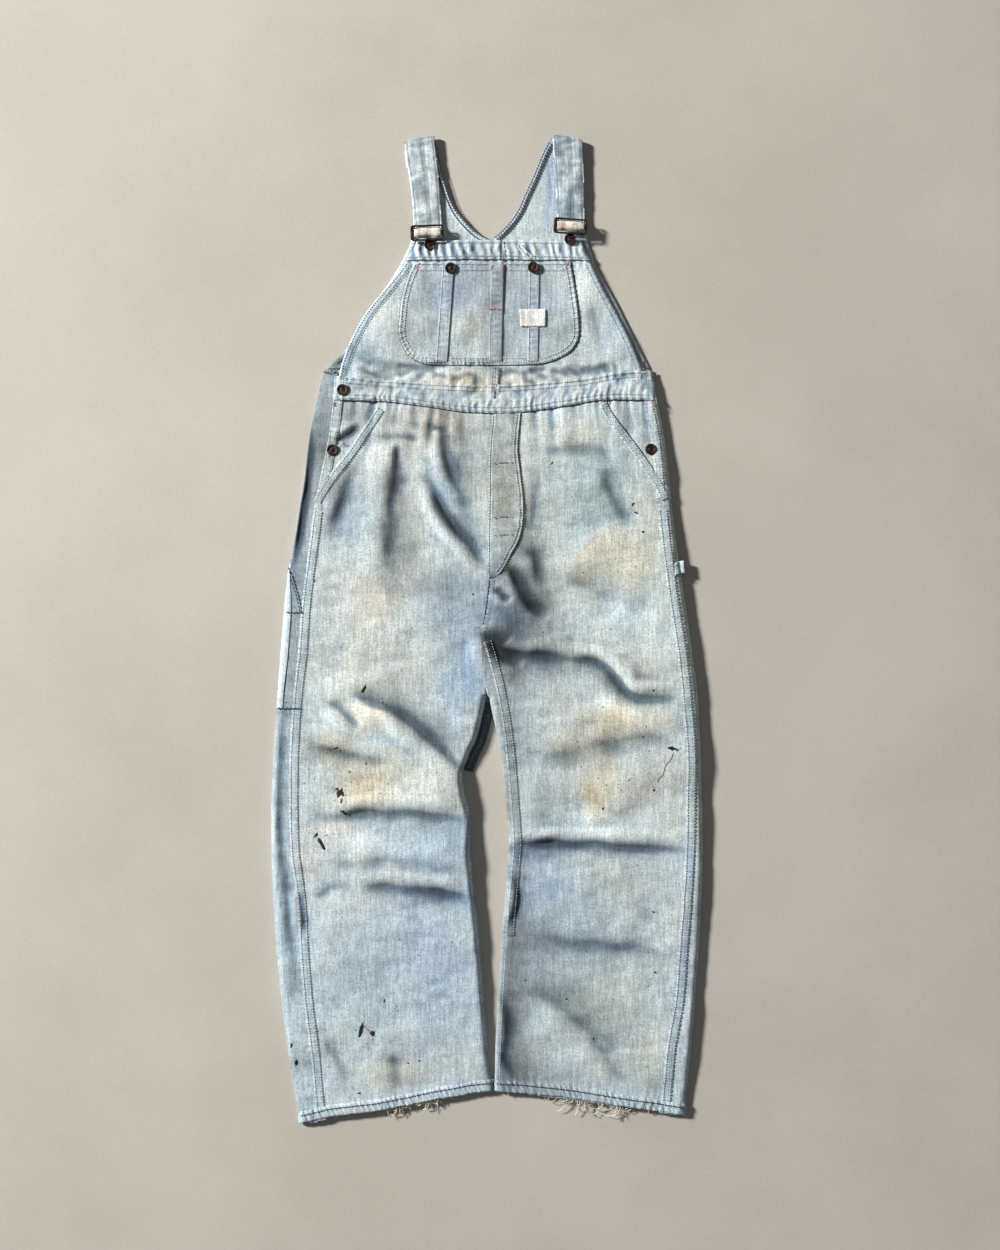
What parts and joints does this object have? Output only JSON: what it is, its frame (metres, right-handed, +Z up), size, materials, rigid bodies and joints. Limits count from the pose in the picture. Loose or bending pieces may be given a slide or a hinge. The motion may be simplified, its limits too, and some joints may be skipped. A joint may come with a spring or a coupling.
{
  "type": "dungarees",
  "caption": "Bleached, paint spattered denim bib dungarees laid flat face up, with gathered bib hem, bib pocket, slide buckles, slanted hip pockets and worn knees.",
  "frame": {"origin": "middle of the garment's outline, on the surface it lies on", "axes": "+Y towards the bib and straps, -Y towards the hems, +Z up from the surface, +X to the right as seen from above"},
  "size_m": [0.5602, 1.2778, 0.0166],
  "materials": {
    "leg_denim": "bleached denim with paint specks and stains",
    "bib_denim": "bleached denim",
    "inside_denim": "paler inner face of the denim",
    "trim_denim": "puckered, double stitched",
    "pocket_denim": "bleached denim, double stitched",
    "label_cloth": "blank woven label",
    "strap_denim": "two-ply denim, worn cream at the buckle",
    "rusty_metal": "rusty, dull"
  },
  "bodies": {
    "root": {"front_leg_left": "leg_denim", "front_leg_right": "leg_denim", "back_leg_left": "leg_denim", "back_leg_right": "leg_denim", "hip_left": "leg_denim", "hip_right": "leg_denim", "bib_left": "bib_denim", "bib_right": "bib_denim", "back_bib": "inside_denim", "neck_binding_left": "inside_denim", "neck_binding_right": "inside_denim", "waistband_left": "trim_denim", "waistband_right": "trim_denim", "fly": "trim_denim", "crotch_seam": "trim_denim", "outseam_left": "trim_denim", "outseam_right": "trim_denim", "inseam_right": "trim_denim", "pocket_welt_left": "trim_denim", "pocket_welt_right": "trim_denim", "side_placket_left": "trim_denim", "side_placket_right": "trim_denim", "hem_front_left": "trim_denim", "hem_front_right": "trim_denim", "hem_back_left": "trim_denim", "hem_back_right": "trim_denim", "bib_top_hem": "trim_denim", "bib_side_hem_left": "trim_denim", "bib_side_hem_right": "trim_denim", "bib_centre_seam": "trim_denim", "bib_pocket": "pocket_denim", "pocket_strip_left": "pocket_denim", "pocket_strip_middle": "pocket_denim", "pocket_strip_right": "pocket_denim", "rule_pocket_lower": "pocket_denim", "rule_pocket_upper": "pocket_denim", "hammer_loop": "pocket_denim", "label": "label_cloth", "strap_left": "strap_denim", "strap_right": "strap_denim", "buckle_left": "rusty_metal", "buckle_right": "rusty_metal", "strap_button_left": "rusty_metal", "strap_button_right": "rusty_metal", "pocket_snap_left": "rusty_metal", "pocket_snap_right": "rusty_metal", "side_button_left_upper": "rusty_metal", "side_button_left_lower": "rusty_metal", "side_button_right": "rusty_metal"}
  },
  "joints": []
}
